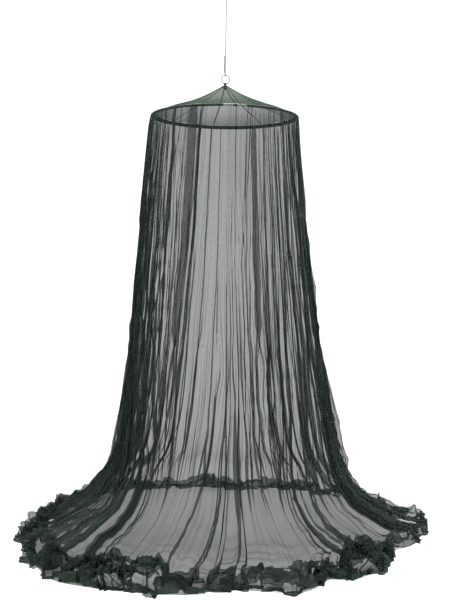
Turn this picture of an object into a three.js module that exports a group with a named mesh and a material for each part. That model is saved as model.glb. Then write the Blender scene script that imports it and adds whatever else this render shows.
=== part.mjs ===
// A round mosquito net canopy that hangs on a cord: one hoop, a crown of eight net gores above it,
// and a long skirt of eight net panels that falls from the hoop and lies on the floor in a ruffled
// ring.
// Millimetres, +Z up, front of the canopy towards -Y. The origin is the point that the top loop of
// the cord hangs from; heights in the tables below are counted up from the floor.
import * as THREE from 'three';

// ---- Driving dimensions ----------------------------------------------------------------------
const HANG_HEIGHT = 2270; // floor to the point that the top loop hangs from
const HOOP_RADIUS = 300; // middle of the rod
const HOOP_HEIGHT = 1700;
const ROD_RADIUS = 2.75;
const CONNECTOR = { at: -82, length: 14, wall: 1.6 }; // degrees round the hoop, from +X to the back
const HOOP_STEP = 6; // degrees of each facet of rod and casing
const CASING = { tape: 1.5, width: 22, slope: 29, edge: 0.8, opening: 3 * HOOP_STEP };
const CROWN_RISE = 130; // hoop to the top of the crown
const RING = { height: 1856, radius: 17.3, wire: 1.2, from: -30, turn: 405, shift: 2.7 };
const CORD_RADIUS = 2;
const EYE_LENGTH = 80; // of the tail that lies beside the cord
const NET = 1.5; // thickness of every net sheet
const CLOTH_GAP = 0.35; // between pieces that touch
const SKIRT_COLUMNS = 112; // all round, shared out over its panels

// ---- Colours and finishes --------------------------------------------------------------------
const finish = (color, roughness, metalness = 0) =>
  new THREE.MeshStandardMaterial({ color, roughness, metalness });
const NET_GREEN = finish(0x2b3d33, 0.8);
const TAPE_GREEN = finish(0x1c2b22, 0.85);
const CORD_WHITE = finish(0xe4e4e2, 0.75);
const BRIGHT_STEEL = finish(0xc9cccf, 0.25, 1);
const ROD_GREY = finish(0xb4b6b6, 0.45);
const CONNECTOR_BLACK = finish(0x1a1c1b, 0.5);

const radians = THREE.MathUtils.degToRad;
const smooth = (t) => t * t * (3 - 2 * t);
const mix = THREE.MathUtils.lerp;

const canopy = new THREE.Group();
canopy.position.z = -HANG_HEIGHT;

function add(name, geometry, material) {
  const mesh = new THREE.Mesh(geometry, material);
  mesh.name = name;
  canopy.add(mesh);
  return mesh;
}

// ---- Shapes ------------------------------------------------------------------------------------

// A closed body from points and four-cornered faces, their corners anticlockwise from outside.
function body(points, faces) {
  const geometry = new THREE.BufferGeometry().setFromPoints(points);
  geometry.setIndex(faces.flatMap(([a, b, c, d]) => [a, b, c, a, c, d]));
  return geometry;
}

// A sheet of cloth of even thickness. outer(row, column) is a point of its outer side, counted in
// whole or part rows and columns; rows run down the cloth and columns run round it, anticlockwise
// from above. Its two side edges stay in upright planes through the axis, square to the next sheet.
function sheet(rows, columns, outer) {
  const step = 0.02;
  const across = columns + 1;
  const side = (rows + 1) * across;
  const points = [];
  const inner = [];
  for (let row = 0; row <= rows; row += 1) {
    for (let column = 0; column <= columns; column += 1) {
      const point = outer(row, column);
      const down = outer(Math.min(row + step, rows), column)
        .sub(outer(Math.max(row - step, 0), column));
      const round = column % columns
        ? outer(row, column + step).sub(outer(row, column - step))
        : new THREE.Vector3(-point.y, point.x, 0);
      const normal = down.cross(round).normalize();
      points.push(point);
      inner.push(point.clone().addScaledVector(normal, -NET));
    }
  }
  points.push(...inner);
  const at = (row, column) => row * across + column;
  const faces = [];
  for (let column = 0; column < columns; column += 1) {
    for (let row = 0; row < rows; row += 1) {
      const corners = [at(row, column), at(row + 1, column),
        at(row + 1, column + 1), at(row, column + 1)];
      faces.push(corners, corners.map((corner) => corner + side).reverse());
    }
    const top = [at(0, column), at(0, column + 1)];
    const hem = [at(rows, column + 1), at(rows, column)];
    for (const [a, b] of [top, hem]) faces.push([a, b, b + side, a + side]);
  }
  for (let row = 0; row < rows; row += 1) {
    const left = [at(row + 1, 0), at(row, 0)];
    const right = [at(row, columns), at(row + 1, columns)];
    for (const [a, b] of [left, right]) faces.push([a, b, b + side, a + side]);
  }
  return body(points, faces);
}

// A sleeve round the hoop: an outer and an inner outline of as many corners, each a list of
// [out, up] from the rod's middle, anticlockwise with out to the right, swept from one angle to
// another in whole facets.
function sleeve(outline, bore, from, facets) {
  const corners = outline.length;
  const points = [];
  for (let facet = 0; facet <= facets; facet += 1) {
    const angle = radians(from + facet * HOOP_STEP);
    for (const [out, up] of [...outline, ...bore]) {
      const radius = HOOP_RADIUS + out;
      points.push(new THREE.Vector3(
        radius * Math.cos(angle), radius * Math.sin(angle), HOOP_HEIGHT + up));
    }
  }
  const ring = 2 * corners;
  const faces = [];
  for (let corner = 0; corner < corners; corner += 1) {
    const next = (corner + 1) % corners;
    for (let facet = 0; facet < facets; facet += 1) {
      const here = facet * ring;
      const there = here + ring;
      const strip = [here + corner, there + corner, there + next, here + next];
      faces.push(strip, strip.map((point) => point + corners).reverse());
    }
    const end = [corner, next, corners + next, corners + corner];
    faces.push(end, end.map((point) => facets * ring + point).reverse());
  }
  return body(points, faces);
}

// A round strand along a list of [x, y, z] points.
function strand(route, radius, steps, sides = 8) {
  const curve = new THREE.CatmullRomCurve3(route.map((point) => new THREE.Vector3(...point)));
  const section = new THREE.Shape(Array.from({ length: sides }, (_, side) => {
    const angle = (2 * Math.PI * side) / sides;
    return new THREE.Vector2(radius * Math.cos(angle), radius * Math.sin(angle));
  }));
  return new THREE.ExtrudeGeometry(section, { steps, extrudePath: curve, bevelEnabled: false });
}

// A knot pulled tight: a round body of the given radius and height, waisted at its ends.
function knot(radius, height, end) {
  const profile = [[0, 0], [end, 0], [radius * 0.86, height * 0.2], [radius, height * 0.42],
    [radius * 0.8, height * 0.62], [radius * 0.92, height * 0.76], [end, height], [0, height]];
  const outline = profile.map(([out, up]) => new THREE.Vector2(out, up));
  return new THREE.LatheGeometry(outline, 12).rotateX(Math.PI / 2);
}

// ---- Split ring --------------------------------------------------------------------------------
// One wire that goes a little over once round, its ends side by side at the right.
const wireShift = (angle) => RING.shift * ((angle - RING.from) / RING.turn - 0.5);
const ringPoint = (angle) => [
  RING.radius * Math.cos(radians(angle)),
  wireShift(angle),
  RING.height + RING.radius * Math.sin(radians(angle)),
];
const RING_STEPS = 45;
add('split_ring', strand(
  Array.from({ length: RING_STEPS + 1 }, (_, step) =>
    ringPoint(RING.from + (RING.turn * step) / RING_STEPS)),
  RING.wire, RING_STEPS), BRIGHT_STEEL);

// ---- Hanging cord ------------------------------------------------------------------------------
// The cord's end goes in front of the ring's wire, under it and up behind it, and its tail lies at
// the left of the cord.
const ringTop = RING.height + RING.radius;
const ringTopShift = wireShift(90);
const round = RING.wire + CLOTH_GAP + CORD_RADIUS;
const tailAside = -2 * CORD_RADIUS - CLOTH_GAP - 0.1;
const diagonal = round * Math.SQRT1_2;
add('cord_eye', strand([
  [0, ringTopShift - round, ringTop + 8],
  [0, ringTopShift - round, ringTop + 4],
  [0, ringTopShift - round, ringTop],
  [0, ringTopShift - diagonal, ringTop - diagonal],
  [0, ringTopShift, ringTop - round],
  [0, ringTopShift + diagonal, ringTop - diagonal],
  [0, ringTopShift + round, ringTop],
  [-0.2, ringTopShift + round, ringTop + 4],
  [-2, 2.6, ringTop + 11],
  [-3.9, 1.2, ringTop + 20],
  [tailAside, 0, ringTop + 32],
  [tailAside, 0, ringTop + 50],
  [tailAside, 0, ringTop + EYE_LENGTH],
], CORD_RADIUS, 30), CORD_WHITE);

// The taut cord, from the eye to the knot; x, y and height over the floor.
const CORD_ROUTE = [
  [0, -4.1, 1882], [0, -3.8, 1886], [0, -3.2, 1891], [0, -2.3, 1897], [0, -1.3, 1904],
  [0, -0.5, 1913], [0, 0, 1926], [0, 0, 1950], [0, 0, 1980], [0, 0, 2010], [0, 0, 2040],
  [0, 0, 2070], [0, 0, 2100], [0, 0, 2130], [0, 0, 2160], [0, 0, 2190], [0, 0, 2212],
];
add('suspension_cord', strand(CORD_ROUTE, CORD_RADIUS, 40), CORD_WHITE);

const KNOT_FOOT = CORD_ROUTE.at(-1)[2] + CLOTH_GAP;
const KNOT_HEIGHT = 15;
const KNOT_RADIUS = 6;
add('top_knot', knot(KNOT_RADIUS, KNOT_HEIGHT, 4.2), CORD_WHITE).position.z = KNOT_FOOT;

// The loop stands on the knot with its two ends side by side, and hangs by its inside top.
const loopFoot = KNOT_FOOT + KNOT_HEIGHT + CLOTH_GAP;
const loopTop = HANG_HEIGHT + CORD_RADIUS;
const loopRise = loopTop - loopFoot;
const LOOP_HALF = 10;
const loopSide = [
  [2.2, 0], [2.2, 0.05], [3.4, 0.12], [6.5, 0.27], [LOOP_HALF, 0.52], [LOOP_HALF - 1, 0.76],
  [5.5, 0.94],
];
add('top_loop', strand([
  ...loopSide.map(([x, share]) => [-x, 0, loopFoot + share * loopRise]),
  [0, 0, loopTop],
  ...loopSide.toReversed().map(([x, share]) => [x, 0, loopFoot + share * loopRise]),
], CORD_RADIUS, 30), CORD_WHITE);

// ---- Apex ----------------------------------------------------------------------------------------
// A tape folded over the ring's wire; its legs come together and go down through the crown.
const TAPE = { width: 10.5, thick: 1.8, neck: 2.3 };
const ringFoot = RING.height - RING.radius;
const tapeUnder = ringFoot + RING.wire + 1.1; // clear of the wire's curve at the tape's edges
const tapeTop = tapeUnder + TAPE.thick;
const saddle = RING.wire + CLOTH_GAP + 0.25; // half of the space between the legs
const crownTop = HOOP_HEIGHT + CROWN_RISE;
const legFoot = crownTop - 4;
const tapeOutline = new THREE.Shape([
  [-TAPE.neck, legFoot], [TAPE.neck, legFoot], [TAPE.neck, ringFoot - 6],
  [saddle + TAPE.thick, ringFoot - 2], [saddle + TAPE.thick, tapeUnder],
  [saddle, tapeTop], [-saddle, tapeTop], [-saddle - TAPE.thick, tapeUnder],
  [-saddle - TAPE.thick, ringFoot - 2], [-TAPE.neck, ringFoot - 6],
].map(([y, z]) => new THREE.Vector2(y, z)));
tapeOutline.holes.push(new THREE.Path([
  [-saddle, ringFoot - 2.4], [saddle, ringFoot - 2.4], [saddle, tapeUnder - 0.5],
  [saddle - 0.6, tapeUnder], [-saddle + 0.6, tapeUnder], [-saddle, tapeUnder - 0.5],
].map(([y, z]) => new THREE.Vector2(y, z))));
const tape = new THREE.ExtrudeGeometry(tapeOutline, { depth: TAPE.width, bevelEnabled: false });
// the outline's (y, z) plane stands up, with the tape's width along X
tape.applyMatrix4(new THREE.Matrix4().makeBasis(
  new THREE.Vector3(0, 1, 0), new THREE.Vector3(0, 0, 1), new THREE.Vector3(1, 0, 0)));
add('apex_loop', tape, TAPE_GREEN)
  .position.set(-TAPE.width / 2, wireShift(270), 0);

const APEX_KNOT = { radius: 5.5, height: 13, aside: -2 };
add('apex_knot', knot(APEX_KNOT.radius, APEX_KNOT.height, 3.2), TAPE_GREEN)
  .position.set(APEX_KNOT.aside, 0, legFoot - CLOTH_GAP - APEX_KNOT.height);

// ---- Hoop ------------------------------------------------------------------------------------------
// The rod's facets start half a facet from the connector, which so lies along one straight facet.
const hoopStart = CONNECTOR.at + HOOP_STEP / 2;
const rodCorners = (radius, count, turn) => Array.from({ length: count }, (_, corner) => {
  const angle = radians(turn + (360 * corner) / count);
  return [radius * Math.cos(angle), radius * Math.sin(angle)];
});
const ROD_SIDES = 8;
const rod = new THREE.LatheGeometry(
  [...rodCorners(ROD_RADIUS, ROD_SIDES, 0), [ROD_RADIUS, 0]]
    .map(([out, up]) => new THREE.Vector2(HOOP_RADIUS + out, up)),
  360 / HOOP_STEP);
rod.rotateX(Math.PI / 2).rotateZ(radians(hoopStart));
add('hoop_rod', rod, ROD_GREY).position.z = HOOP_HEIGHT;

const connectorBore = ROD_RADIUS + CLOTH_GAP;
const connectorOutline = new THREE.Shape(
  rodCorners(connectorBore + CONNECTOR.wall, 12, 0).map((corner) => new THREE.Vector2(...corner)));
connectorOutline.holes.push(new THREE.Path(
  rodCorners(connectorBore, ROD_SIDES, 0).map((corner) => new THREE.Vector2(...corner))));
const connector = new THREE.ExtrudeGeometry(
  connectorOutline, { depth: CONNECTOR.length, bevelEnabled: false });
connector.translate(0, 0, -CONNECTOR.length / 2).rotateX(Math.PI / 2);
const facetRadius = HOOP_RADIUS * Math.cos(radians(HOOP_STEP / 2));
connector.translate(facetRadius, 0, HOOP_HEIGHT).rotateZ(radians(CONNECTOR.at));
add('hoop_connector', connector, CONNECTOR_BLACK);

// The casing is a tape tunnel, round where the rod lies in it and drawn out flat up the crown.
const boreRadius = (ROD_RADIUS + CLOTH_GAP) / Math.cos(radians(180 / 6));
const casingRadius = boreRadius + CASING.tape;
const tipLength = CASING.width - casingRadius;
const tipAngle = radians(180 - CASING.slope);
const tip = (length, side) => [
  length * Math.cos(tipAngle) + side * Math.sin(tipAngle),
  length * Math.sin(tipAngle) - side * Math.cos(tipAngle),
];
const casingOutline = [
  ...rodCorners(casingRadius, 6, 0).slice(0, 2),
  tip(tipLength, CASING.edge), tip(tipLength, -CASING.edge),
  ...rodCorners(casingRadius, 6, 0).slice(4),
];
const casingFacets = (360 - CASING.opening) / HOOP_STEP;
add('hoop_casing', sleeve(
  casingOutline, rodCorners(boreRadius, 6, 0),
  CONNECTOR.at + CASING.opening / 2, casingFacets), TAPE_GREEN);

// ---- Crown -------------------------------------------------------------------------------------------
// Where the eight seams meet the hoop, in degrees; a gore spans from each seam to the next.
const SEAMS = [19, 56, 100, 141, 187, 232, 278, 329];
// The crown's hang from the tape at its top to the casing: radius, and height over the hoop.
const [casingIn, casingUp] = tip(tipLength + 1.5 * CLOTH_GAP, NET / 2);
const CROWN = [
  { out: 6.9, up: CROWN_RISE }, { out: 22, up: 121 }, { out: 53, up: 104 },
  { out: 112, up: 75 }, { out: 182, up: 48 }, { out: 245, up: 26.5 },
  { out: HOOP_RADIUS + casingIn, up: casingUp },
];
const GORE_COLUMNS = 4;
const GORE_SAG = 3.5; // of a gore's middle under its seams
const seamGap = CLOTH_GAP / 2;

function along(table, row, key) {
  const low = Math.min(Math.floor(row), table.length - 2);
  return mix(table[low][key], table[low + 1][key], row - low);
}

// Each seam with the next one round the hoop.
const spans = SEAMS.map((seam, number) =>
  [seam, number + 1 < SEAMS.length ? SEAMS[number + 1] : SEAMS[0] + 360]);

spans.forEach(([seam, next], number) => {
  const rows = CROWN.length - 1;
  const gore = (row, column) => {
    const out = along(CROWN, row, 'out');
    const edge = THREE.MathUtils.radToDeg(seamGap / out);
    const share = column / GORE_COLUMNS;
    const angle = radians(mix(seam + edge, next - edge, share));
    const sag = GORE_SAG * 4 * share * (1 - share) * Math.sin((Math.PI * row) / rows);
    return new THREE.Vector3(
      out * Math.cos(angle), out * Math.sin(angle), HOOP_HEIGHT + along(CROWN, row, 'up') - sag);
  };
  add(`crown_gore_${number + 1}`, sheet(rows, GORE_COLUMNS, gore), NET_GREEN);
});

// ---- Skirt -------------------------------------------------------------------------------------------
// The panels' headings are sewn round the casing, just clear of it where both are straight between
// corners.
const headingRadius = HOOP_RADIUS + casingRadius + 2 * CLOTH_GAP + NET;
// The wall, level by level: height over the floor, outer radius of the folds, how much further out
// it hangs at the right than in the middle, and the share of the folds' depth.
const WALL = [
  { up: 1703, out: headingRadius, lean: 0, fold: 0 },
  { up: 1650, out: 312, lean: -3, fold: 0.5 },
  { up: 1500, out: 325, lean: -3, fold: 0.8 },
  { up: 1353, out: 338, lean: -1, fold: 1 },
  { up: 1180, out: 352, lean: 4, fold: 1.1 },
  { up: 1000, out: 372, lean: 8, fold: 1.2 },
  { up: 830, out: 390, lean: 15, fold: 1.3 },
  { up: 660, out: 412, lean: 21, fold: 1.4 },
  { up: 510, out: 436, lean: 27, fold: 1.5 },
  { up: 390, out: 456, lean: 32, fold: 1.6 },
  { up: 290, out: 482, lean: 34, fold: 1.7 },
  { up: 215, out: 522, lean: 28, fold: 1.7 },
  { up: 150, out: 590, lean: 24, fold: 1.5 },
];
// The cloth on the floor: share of the way from the wall's foot to the hem, height, and share of
// the ruffle's height that is added to it.
const FLOOR = [
  { share: 0.36, up: 92, heap: 0.1, fold: 1.2 },
  { share: 0.62, up: 34, heap: 0.45, fold: 1 },
  { share: 0.8, up: 8, heap: 0.95, fold: 0.8 },
  { share: 0.94, up: 6, heap: 0.75, fold: 0.8 },
  { share: 1, up: 4, heap: 0, fold: 0.8 },
];
// The hem round the floor: degrees, radius, and height of the ruffle that the spare length makes.
const HEM = [
  { at: 0, reach: 900, heap: 45 }, { at: 15, reach: 862, heap: 50 },
  { at: 30, reach: 856, heap: 60 }, { at: 43, reach: 884, heap: 60 },
  { at: 62, reach: 892, heap: 45 }, { at: 80, reach: 785, heap: 32 },
  { at: 95, reach: 785, heap: 48 }, { at: 108, reach: 790, heap: 38 },
  { at: 119, reach: 880, heap: 50 }, { at: 138, reach: 815, heap: 95 },
  { at: 155, reach: 735, heap: 105 }, { at: 168, reach: 735, heap: 115 },
  { at: 184, reach: 765, heap: 120 }, { at: 197, reach: 810, heap: 110 },
  { at: 210, reach: 866, heap: 60 }, { at: 222, reach: 900, heap: 50 },
  { at: 238, reach: 985, heap: 65 }, { at: 250, reach: 955, heap: 60 },
  { at: 262, reach: 986, heap: 65 }, { at: 273, reach: 875, heap: 40 },
  { at: 287, reach: 982, heap: 50 }, { at: 302, reach: 900, heap: 90 },
  { at: 315, reach: 855, heap: 95 }, { at: 328, reach: 806, heap: 60 },
  { at: 340, reach: 845, heap: 50 },
];
// The main folds: where each trough lies, how wide it is in degrees and how deep, in millimetres.
// The cloth hangs nearly flat at the middle of the front and of the back.
const TROUGHS = [
  { at: 8, wide: 15, deep: 13 }, { at: 22, wide: 11, deep: 17 }, { at: 36, wide: 14, deep: 11 },
  { at: 51, wide: 13, deep: 19 }, { at: 65, wide: 11, deep: 12 }, { at: 77, wide: 10, deep: 8 },
  { at: 106, wide: 11, deep: 13 }, { at: 119, wide: 14, deep: 19 }, { at: 134, wide: 12, deep: 12 },
  { at: 148, wide: 13, deep: 20 }, { at: 162, wide: 11, deep: 14 }, { at: 175, wide: 12, deep: 21 },
  { at: 188, wide: 12, deep: 17 }, { at: 201, wide: 11, deep: 21 }, { at: 214, wide: 12, deep: 14 },
  { at: 228, wide: 14, deep: 11 }, { at: 241, wide: 11, deep: 15 }, { at: 253, wide: 10, deep: 9 },
  { at: 290, wide: 12, deep: 13 }, { at: 304, wide: 13, deep: 19 }, { at: 318, wide: 12, deep: 11 },
  { at: 331, wide: 13, deep: 17 }, { at: 345, wide: 13, deep: 14 },
];

// A value of the hem's table at any angle, joined smoothly from row to row.
function hemAt(degrees, key) {
  const turn = ((degrees % 360) + 360) % 360;
  const after = HEM.findIndex(({ at }) => at > turn);
  const next = after < 0 ? { ...HEM[0], at: 360 } : HEM[after];
  const last = after < 0 ? HEM.at(-1) : HEM[after - 1];
  return mix(last[key], next[key], smooth((turn - last.at) / (next.at - last.at)));
}

// How deep the troughs are at any angle.
function foldAt(degrees) {
  return TROUGHS.reduce((depth, { at, wide, deep }) => {
    const away = Math.abs(((degrees - at + 540) % 360) - 180) / (wide / 2);
    return away < 1 ? depth + deep * smooth(1 - away) : depth;
  }, 0);
}

// A point of the skirt's outer side: the row counted down the two tables, and degrees round it.
function skirtPoint(row, degrees) {
  const angle = radians(degrees);
  const foot = WALL.length - 1;
  let out;
  let up;
  let fold;
  if (row <= foot) {
    out = along(WALL, row, 'out') + along(WALL, row, 'lean') * Math.cos(angle);
    up = along(WALL, row, 'up');
    fold = along(WALL, row, 'fold');
  } else {
    const wallFoot = WALL[foot].out + WALL[foot].lean * Math.cos(angle);
    const table = [{ share: 0, up: WALL[foot].up, heap: 0, fold: WALL[foot].fold }, ...FLOOR];
    out = mix(wallFoot, hemAt(degrees, 'reach'), along(table, row - foot, 'share'));
    up = along(table, row - foot, 'up') + along(table, row - foot, 'heap') * hemAt(degrees, 'heap');
    fold = along(table, row - foot, 'fold');
  }
  const radius = out - fold * foldAt(degrees);
  return new THREE.Vector3(radius * Math.cos(angle), radius * Math.sin(angle), up);
}

// The skirt's panels hang under the crown's gores, seam under seam.
spans.forEach(([seam, next], number) => {
  const columns = Math.round((SKIRT_COLUMNS * (next - seam)) / 360);
  const edge = THREE.MathUtils.radToDeg(seamGap / headingRadius);
  const panel = (row, column) => skirtPoint(row, mix(seam + edge, next - edge, column / columns));
  add(`skirt_panel_${number + 1}`, sheet(WALL.length - 1 + FLOOR.length, columns, panel), NET_GREEN);
});

export default canopy;
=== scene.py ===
"""A round mosquito net canopy: a white cord and a wire ring carry a shallow crown of eight net
gores over a rod hoop, and a long skirt of eight net panels falls from it to a ruffled ring on the
floor. Metres. The origin is the point that the cord's top loop hangs from; the front faces -Y."""

from math import cos, degrees, pi, radians, sin

import bpy
import numpy as np
from mathutils import Matrix, Vector


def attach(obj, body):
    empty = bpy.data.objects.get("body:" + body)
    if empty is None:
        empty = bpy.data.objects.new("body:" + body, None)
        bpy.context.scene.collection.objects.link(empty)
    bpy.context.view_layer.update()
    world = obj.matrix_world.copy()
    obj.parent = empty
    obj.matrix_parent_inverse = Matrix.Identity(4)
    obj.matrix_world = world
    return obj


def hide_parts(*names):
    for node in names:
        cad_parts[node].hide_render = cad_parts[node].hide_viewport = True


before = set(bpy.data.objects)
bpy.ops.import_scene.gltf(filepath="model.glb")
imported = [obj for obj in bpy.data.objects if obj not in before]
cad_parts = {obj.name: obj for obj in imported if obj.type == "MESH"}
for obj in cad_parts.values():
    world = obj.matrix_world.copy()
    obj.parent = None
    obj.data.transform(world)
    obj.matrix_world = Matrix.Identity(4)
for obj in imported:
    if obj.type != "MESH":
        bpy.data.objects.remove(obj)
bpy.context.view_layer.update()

# ---- Camera --------------------------------------------------------------------------------------
# A camera a metre over the floor and a little over four metres in front of the cord, almost level,
# with a normal to long lens. It leans to the left by less than a degree.
FLOOR = -2.270
CAMERA_PLACE = (0.0125, -4.23, FLOOR + 1.016)
CAMERA_TILT, CAMERA_LEAN = 1.016, 0.85  # degrees, down and to the left
scene = bpy.context.scene
camera = bpy.data.objects.new("camera", bpy.data.cameras.new("camera"))
camera.data.sensor_fit = "VERTICAL"
camera.data.sensor_height = 36
camera.data.lens = 60.9
camera.matrix_world = (
    Matrix.Translation(CAMERA_PLACE)
    @ Matrix.Rotation(radians(90 - CAMERA_TILT), 4, "X")
    @ Matrix.Rotation(radians(CAMERA_LEAN), 4, "Z")
)
scene.collection.objects.link(camera)
scene.camera = camera

# ---- Hanging cord --------------------------------------------------------------------------------
# White 4 mm cord of three twisted strands. Its lower end goes through the wire ring and lies back
# up beside it, and its upper end is tied in a plain loop that goes over a hook.


def linear(hex_colour):
    """An sRGB hex colour as linear RGBA."""
    channels = [int(hex_colour[i:i + 2], 16) / 255 for i in (0, 2, 4)]
    red, green, blue = (
        c / 12.92 if c < 0.04045 else ((c + 0.055) / 1.055) ** 2.4 for c in channels
    )
    return red, green, blue, 1


def new_material(name):
    """An empty node material, with its Principled shader."""
    material = bpy.data.materials.new(name)
    material.use_nodes = True
    return material, material.node_tree.nodes["Principled BSDF"]


def node(material, kind, settings=None, values=None, links=None):
    """Adds a node: its settings, its sockets' values, and the outputs linked to its sockets."""
    made = material.node_tree.nodes.new(kind)
    for key, value in (settings or {}).items():
        setattr(made, key, value)
    for key, value in (values or {}).items():
        made.inputs[key].default_value = value
    for key, output in (links or {}).items():
        material.node_tree.links.new(output, made.inputs[key])
    return made


def mesh_piece(name, shape, material):
    """A smooth mesh object on the root body. Its shape is its points and faces, then the points'
    UVs on the cloth and their distances from its edges, where it has them."""
    points, faces, *layers = shape
    mesh = bpy.data.meshes.new(name)
    mesh.from_pydata([tuple(p) for p in points], [], [tuple(f) for f in faces])
    mesh.polygons.foreach_set("use_smooth", [True] * len(mesh.polygons))
    corners = np.empty(len(mesh.loops), dtype=np.int32)
    mesh.loops.foreach_get("vertex_index", corners)
    for layer_name, layer in zip(("cloth", "edges"), layers):
        flat = np.asarray(layer, dtype=np.float32)[corners].ravel()
        mesh.uv_layers.new(name=layer_name).data.foreach_set("uv", flat)
    mesh.update()
    mesh.materials.append(material)
    piece = bpy.data.objects.new(name, mesh)
    scene.collection.objects.link(piece)
    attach(piece, "root")
    return piece


def spline(a, b, c, d, t):
    """A smooth curve from b to c as t goes from 0 to 1, with a and d as their neighbours."""
    return 0.5 * (
        2 * b + (c - a) * t + (2 * a - 5 * b + 4 * c - d) * t**2 + (3 * b - 3 * c + d - a) * t**3
    )


def smooth_route(points, count):
    """As many points, evenly spaced along a smooth curve through the given ones."""
    given = np.array(points, dtype=float)
    padded = np.vstack([2 * given[0] - given[1], given, 2 * given[-1] - given[-2]])
    curve = []
    for a, b, c, d in zip(padded, padded[1:], padded[2:], padded[3:]):
        for t in np.linspace(0, 1, 24, endpoint=False):
            curve.append(spline(a, b, c, d, t))
    curve = np.array(curve + [given[-1]])
    run = np.r_[0, np.cumsum(np.linalg.norm(np.diff(curve, axis=0), axis=1))]
    at = np.linspace(0, run[-1], count)
    return np.stack([np.interp(at, run, curve[:, axis]) for axis in range(3)], axis=1)


def tube(route, section, closed=False):
    """Points, faces and UVs of a tube: section(length) gives its outline's (side, up) points."""
    route = np.asarray(route)
    count = len(route)
    if closed:
        tangents = np.roll(route, -1, axis=0) - np.roll(route, 1, axis=0)
    else:
        tangents = np.gradient(route, axis=0)
    tangents /= np.linalg.norm(tangents, axis=1)[:, None]
    run = np.r_[0, np.cumsum(np.linalg.norm(np.diff(route, axis=0), axis=1))]
    side = np.array([1.0, 0, 0])
    if abs(tangents[0] @ side) > 0.9:
        side = np.array([0, 1.0, 0])
    points, uvs = [], []
    for place, along, length in zip(route, tangents, run):
        side = side - (side @ along) * along
        side /= np.linalg.norm(side)
        up = np.cross(along, side)
        outline = section(length)
        for corner, (a, b) in enumerate(outline):
            points.append(place + a * side + b * up)
            uvs.append((corner / len(outline), length))
    sides = len(section(0))
    last = count if closed else count - 1
    faces = []
    for row in range(last):
        for corner in range(sides):
            here, there = row * sides, (row + 1) % count * sides
            faces.append(
                (here + corner, here + (corner + 1) % sides,
                 there + (corner + 1) % sides, there + corner)
            )
    if not closed:
        faces.append(tuple(range(sides))[::-1])
        faces.append(tuple((count - 1) * sides + corner for corner in range(sides)))
    return points, faces, uvs


CORD = 0.004
LAY = 0.011  # length in which a strand goes once round the cord
CORD_SIDES = 24
HOLLOW, STRAND = 0.84, 0.16  # shares of the radius: between two strands, and what a strand adds


def twisted(length):
    """The outline of a cord of three strands, turned as far as its lay asks at this length."""
    outline = []
    for corner in range(CORD_SIDES):
        angle = 2 * pi * corner / CORD_SIDES
        crest = abs(sin(1.5 * (angle - 2 * pi * length / LAY)))
        radius = CORD / 2 * (HOLLOW + STRAND * crest**0.6)
        outline.append((radius * cos(angle), radius * sin(angle)))
    return outline


# Twisted cotton: soft white fibres, matt, with the yarn's grain of about 1 mm, its hollows painted
# greyer as painted shade.
# Drawn in greys, because the surroundings are brighter than white and it would be lost on them.
cord_cotton, shader = new_material("twisted cotton cord")
cord_yarn = node(cord_cotton, "ShaderNodeTexNoise", values={"Scale": 900, "Detail": 3})
# the grain's low values are its bump's hollows and get the darker grey: painted shade
cord_tone = node(cord_cotton, "ShaderNodeValToRGB", links={"Fac": cord_yarn.outputs["Fac"]})
cord_tone.color_ramp.elements[0].color = linear("6c6c6a")
cord_tone.color_ramp.elements[1].color = linear("8e8e8b")
cord_relief = node(
    cord_cotton, "ShaderNodeBump", values={"Strength": 0.5, "Distance": 0.0002},
    links={"Height": cord_yarn.outputs["Fac"]},
)
cord_cotton.node_tree.links.new(cord_tone.outputs["Color"], shader.inputs["Base Color"])
cord_cotton.node_tree.links.new(cord_relief.outputs["Normal"], shader.inputs["Normal"])
shader.inputs["Roughness"].default_value = 0.85
shader.inputs["Sheen Weight"].default_value = 0.3

# y and height of the cord's middle: from the ring's wire up beside its own tail, then straight up
CORD_POINTS = [
    (-0.0041, 1.882), (-0.0038, 1.886), (-0.0032, 1.891), (-0.0023, 1.897), (-0.0013, 1.904),
    (-0.0005, 1.913), (0, 1.926), (0, 1.950), (0, 1.980), (0, 2.010), (0, 2.040), (0, 2.070),
    (0, 2.100), (0, 2.130), (0, 2.160), (0, 2.190), (0, 2.212),
]
cord_route = [(0, y, height + FLOOR) for y, height in CORD_POINTS]
cord_line = smooth_route(cord_route, 260)
suspension_cord = mesh_piece("suspension-cord", tube(cord_line, twisted), cord_cotton)
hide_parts("suspension_cord")

# The cord's end goes round the ring's wire and lies back up beside the cord.
RING_TOP = 1.8733 + FLOOR
tail_route = [
    (0, -0.0037, RING_TOP + 0.0085), (0, -0.0037, RING_TOP + 0.004), (0, -0.0036, RING_TOP),
    (0, -0.0026, RING_TOP - 0.0025), (0, 0, RING_TOP - 0.0036), (0, 0.0026, RING_TOP - 0.0025),
    (0, 0.0036, RING_TOP), (-0.0002, 0.0036, RING_TOP + 0.004), (-0.002, 0.0026, RING_TOP + 0.011),
    (-0.0039, 0.0012, RING_TOP + 0.020), (-0.00435, 0.0002, RING_TOP + 0.032),
    (-0.0043, 0, RING_TOP + 0.050), (-0.0044, 0, RING_TOP + 0.080),
]
cord_eye = mesh_piece(
    "cord-eye", tube(smooth_route(tail_route, 110), twisted), cord_cotton
)
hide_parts("cord_eye")

# The knot is over two turns of the cord round its own standing part, pulled tight.
KNOT_FOOT, KNOT_RADIUS, KNOT_RISE = 2.21235 + FLOOR, 0.0036, 0.0088
KNOT_TURN = 4.6 * pi
knot_route = [
    (KNOT_RADIUS * cos(turn), KNOT_RADIUS * sin(turn),
     KNOT_FOOT + 0.0030 + KNOT_RISE * turn / KNOT_TURN)
    for turn in np.linspace(0, KNOT_TURN, 30)
]
top_knot = mesh_piece(
    "top-knot", tube(smooth_route(knot_route, 120), twisted), cord_cotton
)
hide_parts("top_knot")

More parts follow.
